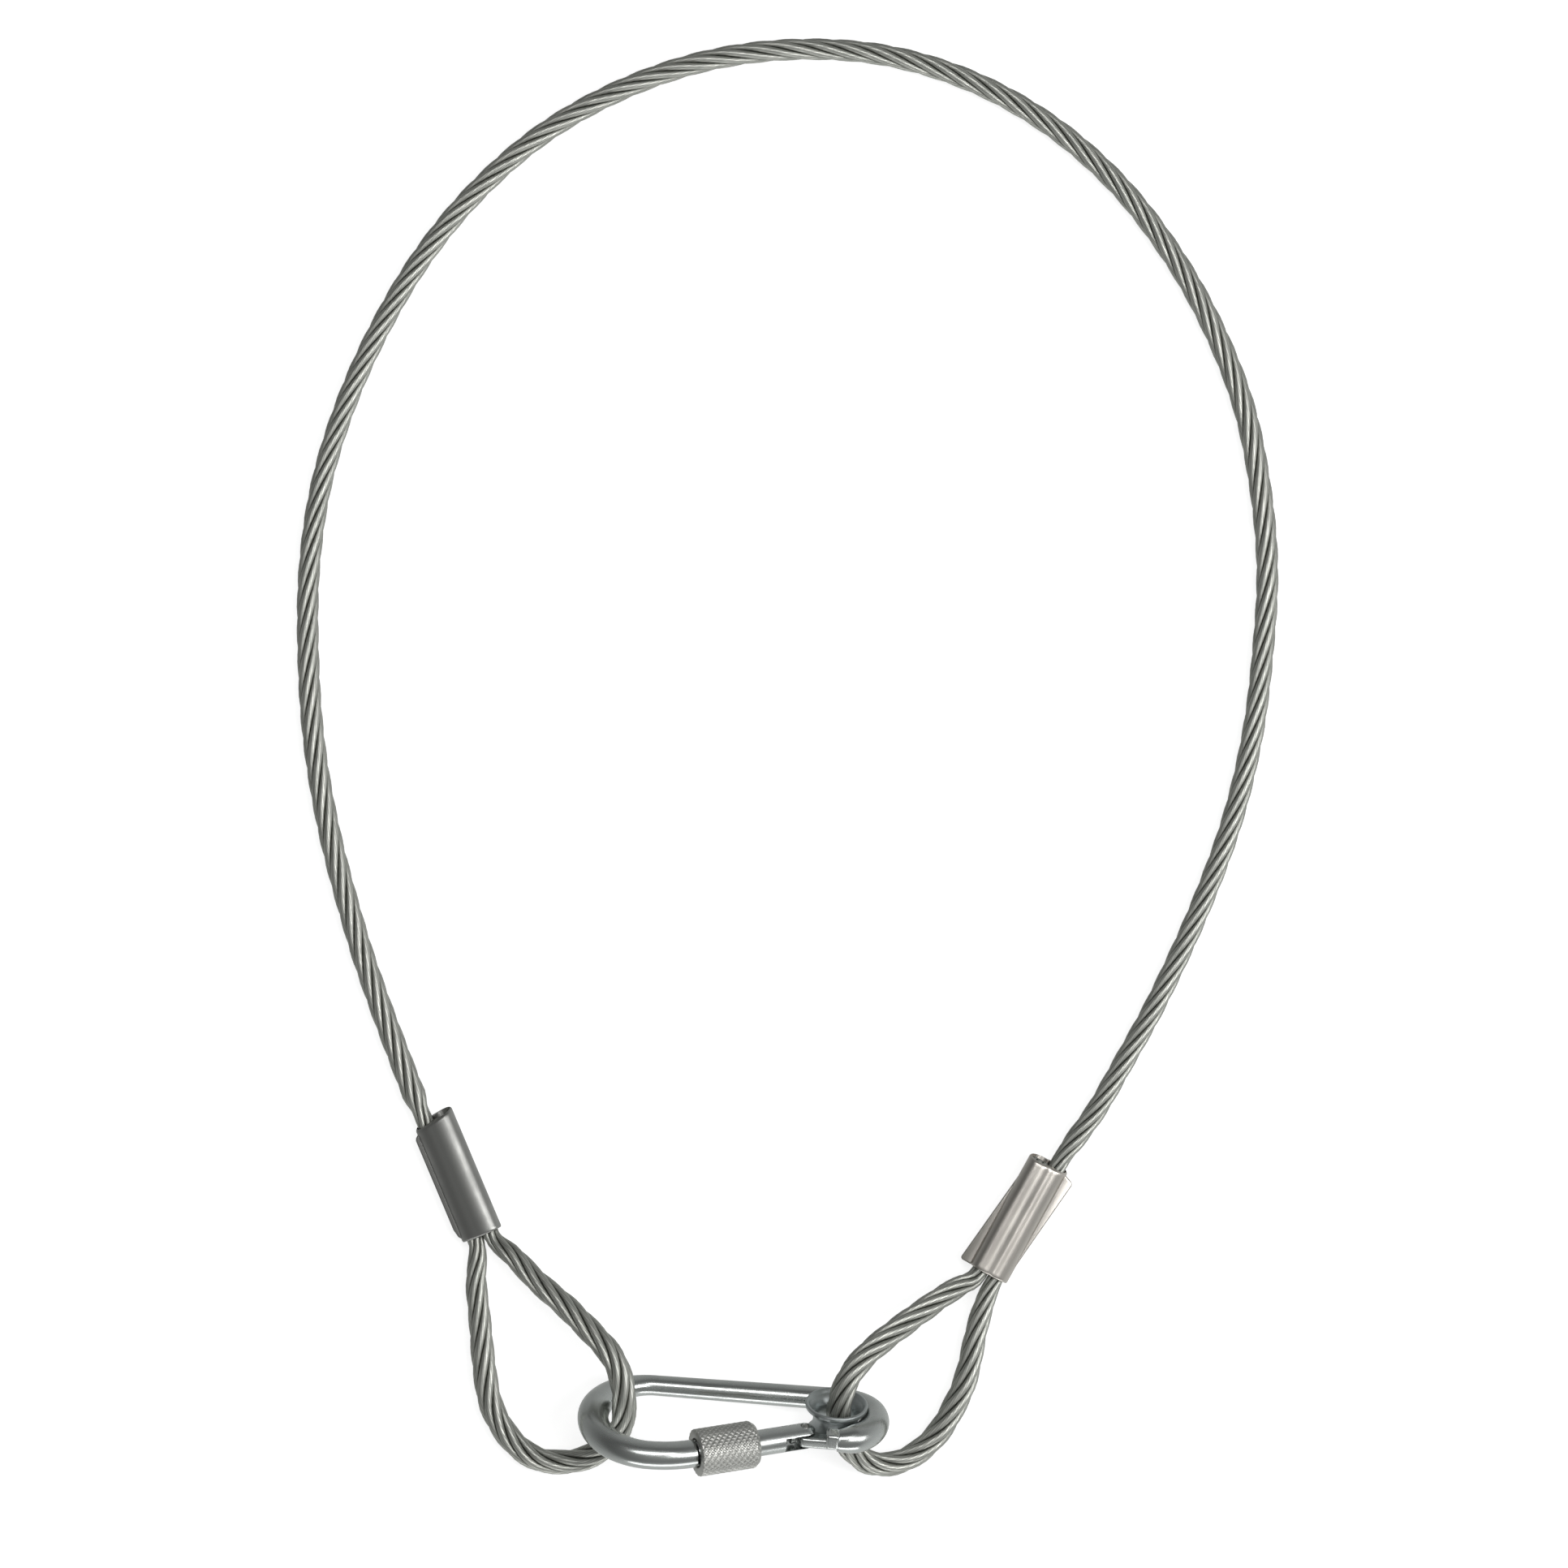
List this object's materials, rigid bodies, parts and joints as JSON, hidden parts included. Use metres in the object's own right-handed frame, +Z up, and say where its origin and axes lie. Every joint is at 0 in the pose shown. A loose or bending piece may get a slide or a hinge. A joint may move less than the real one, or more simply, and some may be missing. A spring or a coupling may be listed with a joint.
{
  "type": "wire rope safety sling",
  "caption": "Steel wire rope loop with swaged soft eyes, closed by a bent-wire snap hook with an eyelet thimble, a sprung gate and a knurled screw-lock nut.",
  "frame": {"origin": "On the floor, within half a millimetre of the point under the middle of the snap hook's bounding box, the hook taken without the rope and its ferrules.", "axes": "+Z up from the floor the sling lies on, +X along the hook from its wide bend to its eyelet, +Y from the hook towards the far side of the rope loop."},
  "size_m": [0.1667, 0.2439, 0.0219],
  "materials": {
    "wire_rope": "galvanised",
    "ferrule": "satin",
    "hook_steel": "zinc plated",
    "thimble_steel": "zinc plated",
    "nut_steel": "knurled",
    "inner_steel": "plain"
  },
  "bodies": {
    "rope_sling": {"wire_rope": "wire_rope", "left_ferrule": "ferrule", "right_ferrule": "ferrule"},
    "hook": {"hook_body": "hook_steel", "eyelet_thimble": "thimble_steel"},
    "gate": {"gate": "hook_steel", "gate_rivet": "inner_steel", "latch_pin": "inner_steel", "gate_spring": "inner_steel"},
    "plunger": {"spring_plunger": "inner_steel"},
    "lock_nut": {"lock_nut": "nut_steel"}
  },
  "joints": [
    {"name": "hook_tilt", "type": "hinge", "parent": "rope_sling", "child": "hook", "pos_m": [0, 0.0029, 0.0089], "axis": [0.9971, -0.0767, 0], "range_deg": [-12, 0]},
    {"name": "gate_swing", "type": "hinge", "parent": "hook", "child": "gate", "pos_m": [0.01211, -0.00191, 0.01192], "axis": [-0.0673, -0.8741, -0.481], "range_deg": [0, 22], "stiffness_Nm_per_rad": 0.05, "springref_deg": -20.05},
    {"name": "nut_travel", "type": "slide", "parent": "gate", "child": "lock_nut", "axis": [0.9383, 0.1085, -0.3284], "range_m": [0, 0.0071]},
    {"name": "plunger_slide", "type": "slide", "parent": "gate", "child": "plunger", "axis": [-0.9383, -0.1085, 0.3284], "range_m": [0, 0.00045], "deforming": ["gate_spring"]}
  ],
  "couplings": [
    {"joint": "nut_travel", "follows": "gate_swing", "m_per_rad": 0.0184},
    {"joint": "plunger_slide", "follows": "gate_swing", "m_per_rad": 0.0011}
  ]
}
